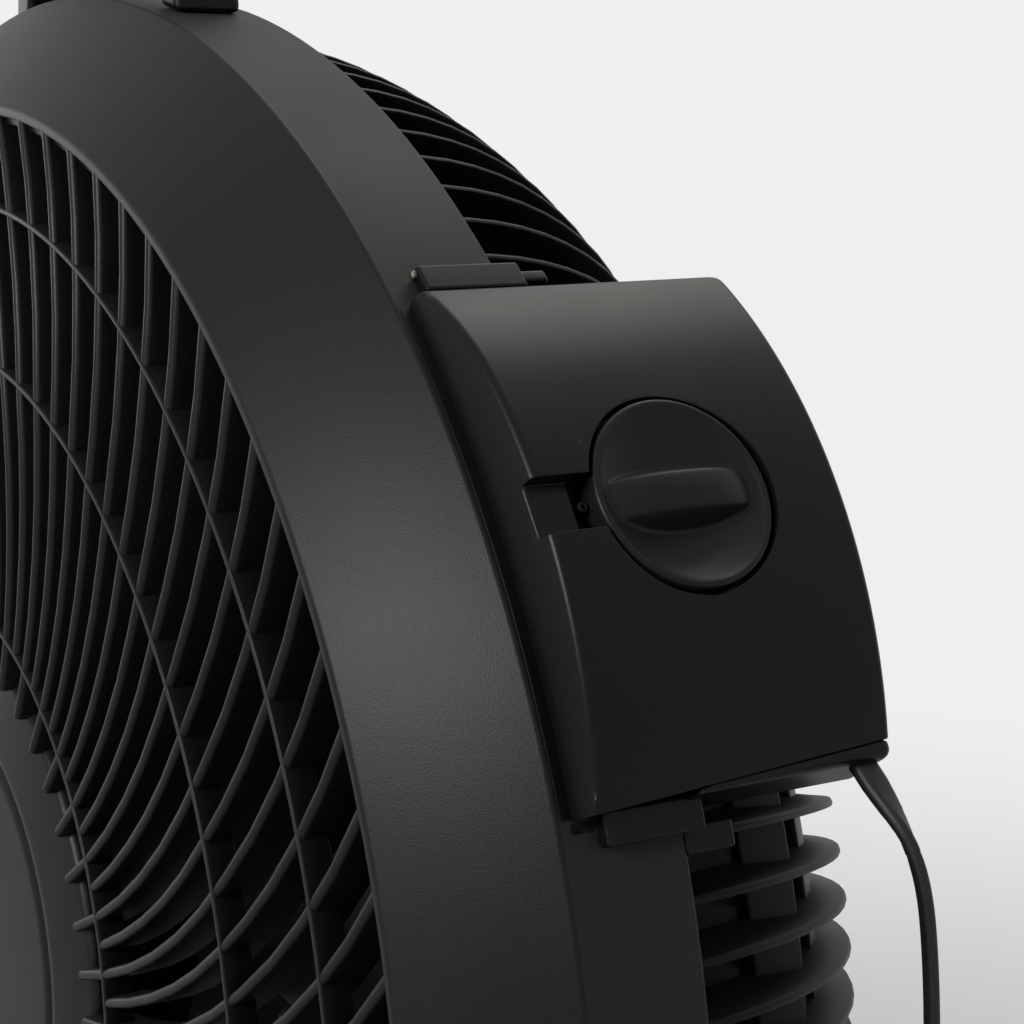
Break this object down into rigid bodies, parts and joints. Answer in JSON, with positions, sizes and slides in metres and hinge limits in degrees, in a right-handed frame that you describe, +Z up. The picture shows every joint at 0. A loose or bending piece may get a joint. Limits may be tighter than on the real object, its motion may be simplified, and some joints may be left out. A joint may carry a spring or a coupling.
{
  "type": "floor fan",
  "caption": "Round drum floor fan with a louvred front grille, ribbed rear basket, side speed knob, tilting head on two legs and a mains cord.",
  "frame": {"origin": "on the floor under the middle of the tilt axis", "axes": "+Z up, +X to the fan's right seen from the front, the air leaves towards -Y"},
  "size_m": [0.618, 0.3, 0.641],
  "materials": {
    "bezel": "fine grained matte charcoal",
    "louvre": "satin near-black moulding",
    "shell": "smooth satin black moulding",
    "badge": "smooth bare disc",
    "knob": "satin black with a moulded grip",
    "blade": "moulded dark grey",
    "steel": "zinc plated",
    "lamination": "stacked sheet edges",
    "copper": "enamelled wire",
    "bronze": "sintered bush",
    "tube": "black powder coat",
    "rubber": "soft black",
    "cord": "black flexible cover",
    "pin": "bare pins",
    "nylon": "natural nylon"
  },
  "bodies": {
    "stand": {"stand_leg_right": "shell", "stand_leg_left": "shell", "front_crossbar": "tube", "rear_crossbar": "tube", "crossbar_screws": "steel", "rubber_feet": "rubber", "pivot_bolts": "tube", "friction_washers": "nylon", "cord_drop": "cord", "cord_coil": "cord", "plug_body": "cord", "plug_pins": "pin", "cord_tie": "nylon"},
    "head": {"drum_shroud": "shell", "front_bezel": "bezel", "front_grille": "louvre", "hub_badge": "badge", "rear_grille": "louvre", "motor_front_bell": "tube", "motor_rear_bell": "tube", "stator_stack": "lamination", "front_winding": "copper", "rear_winding": "copper", "front_bearing": "bronze", "rear_bearing": "bronze", "run_capacitor": "shell", "motor_screws": "steel", "control_base": "shell", "control_cover": "shell", "cord_gland": "rubber", "rotary_switch": "nylon", "upper_clip": "shell", "lower_clip": "shell", "carry_handle": "shell", "left_pivot_boss": "shell", "right_pivot_boss": "shell", "motor_lead": "cord"},
    "rotor": {"rotor_shaft": "steel", "fan_blade": "blade", "blade_nut": "steel"},
    "knob": {"speed_knob": "knob", "switch_spindle": "steel"}
  },
  "joints": [
    {"name": "head_tilt", "type": "hinge", "parent": "stand", "child": "head", "pos_m": [0, 0, 0.325], "axis": [1, 0, 0], "range_deg": [-75, 20], "deforming": ["cord_drop"]},
    {"name": "rotor_spin", "type": "hinge", "parent": "head", "child": "rotor", "pos_m": [0, 0, 0.325], "axis": [0, 1, 0], "continuous": true},
    {"name": "knob_turn", "type": "hinge", "parent": "head", "child": "knob", "pos_m": [0.25071, 0.026, 0.48719], "axis": [-0.8396, 0, -0.5432], "range_deg": [0, 135]}
  ]
}
